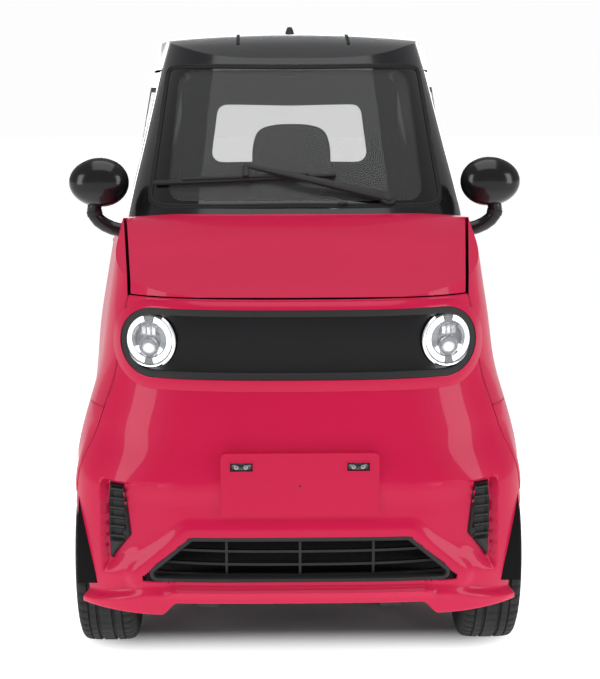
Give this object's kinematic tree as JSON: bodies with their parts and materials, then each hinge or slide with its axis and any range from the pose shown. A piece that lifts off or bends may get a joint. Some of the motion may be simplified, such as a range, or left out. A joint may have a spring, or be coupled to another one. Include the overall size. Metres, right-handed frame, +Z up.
{
  "type": "microcar",
  "caption": "Closed microcar with rounded nose, lamp band across the front, tall cabin, side doors, hood and tailgate, on small road wheels.",
  "frame": {"origin": "on the ground under the middle of the car, at mid length and mid width", "axes": "+Z up, the nose points to -Y, +X to the car's left side"},
  "size_m": [1.176, 2.2799, 1.6098],
  "materials": {
    "body_paint": "raspberry red paint, clear coated",
    "gloss_black": "gloss black",
    "black_plastic": "grained black",
    "pane_glass": "clear, lightly tinted",
    "lamp_glass": "clear lens",
    "tail_lens": "red lens",
    "coated_steel": "black coated",
    "bare_steel": "bare",
    "seat_cloth": "woven cloth",
    "wheel_rubber": "soft grip",
    "tyre": "black rubber",
    "alloy": "painted alloy"
  },
  "bodies": {
    "body": {"front_bumper": "body_paint", "rear_bumper": "body_paint", "roof_shell": "gloss_black", "windscreen": "pane_glass", "side_windows": "pane_glass", "cowl": "body_paint", "fender_left": "body_paint", "fender_right": "body_paint", "quarter_left": "body_paint", "quarter_right": "body_paint", "lamp_panel": "gloss_black", "headlamps": "lamp_glass", "lower_grille": "black_plastic", "plate_bracket": "body_paint", "tail_lamps": "tail_lens", "chassis_frame": "coated_steel", "floor_tub": "black_plastic", "battery_pack": "coated_steel", "front_suspension": "coated_steel", "steering_rack": "bare_steel", "rear_axle": "coated_steel", "dashboard": "black_plastic", "seat_cushion": "seat_cloth", "seat_back": "seat_cloth", "seat_base": "black_plastic", "rear_seat": "seat_cloth"},
    "hood": {"hood": "body_paint"},
    "tailgate": {"tailgate": "body_paint", "tailgate_glass": "pane_glass"},
    "door_left": {"door_left": "body_paint", "door_glass_left": "pane_glass", "mirror_left": "gloss_black"},
    "door_right": {"door_right": "body_paint", "door_glass_right": "pane_glass", "mirror_right": "gloss_black"},
    "steering_wheel": {"steering_wheel": "wheel_rubber"},
    "tie_rods": {"tie_rods": "bare_steel"},
    "knuckle_left": {"knuckle_left": "bare_steel"},
    "knuckle_right": {"knuckle_right": "bare_steel"},
    "wheel_front_left": {"tyre_front_left": "tyre", "rim_front_left": "alloy"},
    "wheel_front_right": {"tyre_front_right": "tyre", "rim_front_right": "alloy"},
    "wheel_rear_left": {"tyre_rear_left": "tyre", "rim_rear_left": "alloy"},
    "wheel_rear_right": {"tyre_rear_right": "tyre", "rim_rear_right": "alloy"}
  },
  "joints": [
    {"name": "knuckle_left_steer", "type": "hinge", "parent": "body", "child": "knuckle_left", "pos_m": [0.43, -0.74, 0.254], "axis": [0, 0, 1], "range_deg": [-33.5, 33.5]},
    {"name": "wheel_front_left_spin", "type": "hinge", "parent": "knuckle_left", "child": "wheel_front_left", "pos_m": [0.4905, -0.74, 0.254], "axis": [1, 0, 0], "continuous": true},
    {"name": "wheel_rear_left_spin", "type": "hinge", "parent": "body", "child": "wheel_rear_left", "pos_m": [0.4905, 0.74, 0.254], "axis": [1, 0, 0], "continuous": true},
    {"name": "door_left_hinge", "type": "hinge", "parent": "body", "child": "door_left", "pos_m": [0.588, -0.445, 0.42], "axis": [0.1301, 0, -0.9915], "range_deg": [0, 65]},
    {"name": "knuckle_right_steer", "type": "hinge", "parent": "body", "child": "knuckle_right", "pos_m": [-0.43, -0.74, 0.254], "axis": [0, 0, 1], "range_deg": [-33.5, 33.5]},
    {"name": "wheel_front_right_spin", "type": "hinge", "parent": "knuckle_right", "child": "wheel_front_right", "pos_m": [-0.4905, -0.74, 0.254], "axis": [1, 0, 0], "continuous": true},
    {"name": "wheel_rear_right_spin", "type": "hinge", "parent": "body", "child": "wheel_rear_right", "pos_m": [-0.4905, 0.74, 0.254], "axis": [1, 0, 0], "continuous": true},
    {"name": "door_right_hinge", "type": "hinge", "parent": "body", "child": "door_right", "pos_m": [-0.588, -0.445, 0.42], "axis": [0.1301, 0, 0.9915], "range_deg": [0, 65]},
    {"name": "steering_wheel_turn", "type": "hinge", "parent": "body", "child": "steering_wheel", "pos_m": [0, -0.13, 0.905], "axis": [0, 0.9135, 0.4067], "range_deg": [-450, 450]},
    {"name": "rack_slide", "type": "slide", "parent": "body", "child": "tie_rods", "axis": [1, 0, 0], "range_m": [-0.065, 0.065]},
    {"name": "hood_hinge", "type": "hinge", "parent": "body", "child": "hood", "pos_m": [0, -0.558, 1.104], "axis": [-1, 0, 0], "range_deg": [0, 45]},
    {"name": "tailgate_hinge", "type": "hinge", "parent": "body", "child": "tailgate", "pos_m": [0, 0.909, 1.493], "axis": [1, 0, 0], "range_deg": [0, 75]}
  ],
  "couplings": [
    {"joint": "knuckle_left_steer", "follows": "steering_wheel_turn", "ratio": 0.073333},
    {"joint": "knuckle_right_steer", "follows": "steering_wheel_turn", "ratio": 0.073333},
    {"joint": "rack_slide", "follows": "steering_wheel_turn", "m_per_rad": 0.0080667}
  ]
}
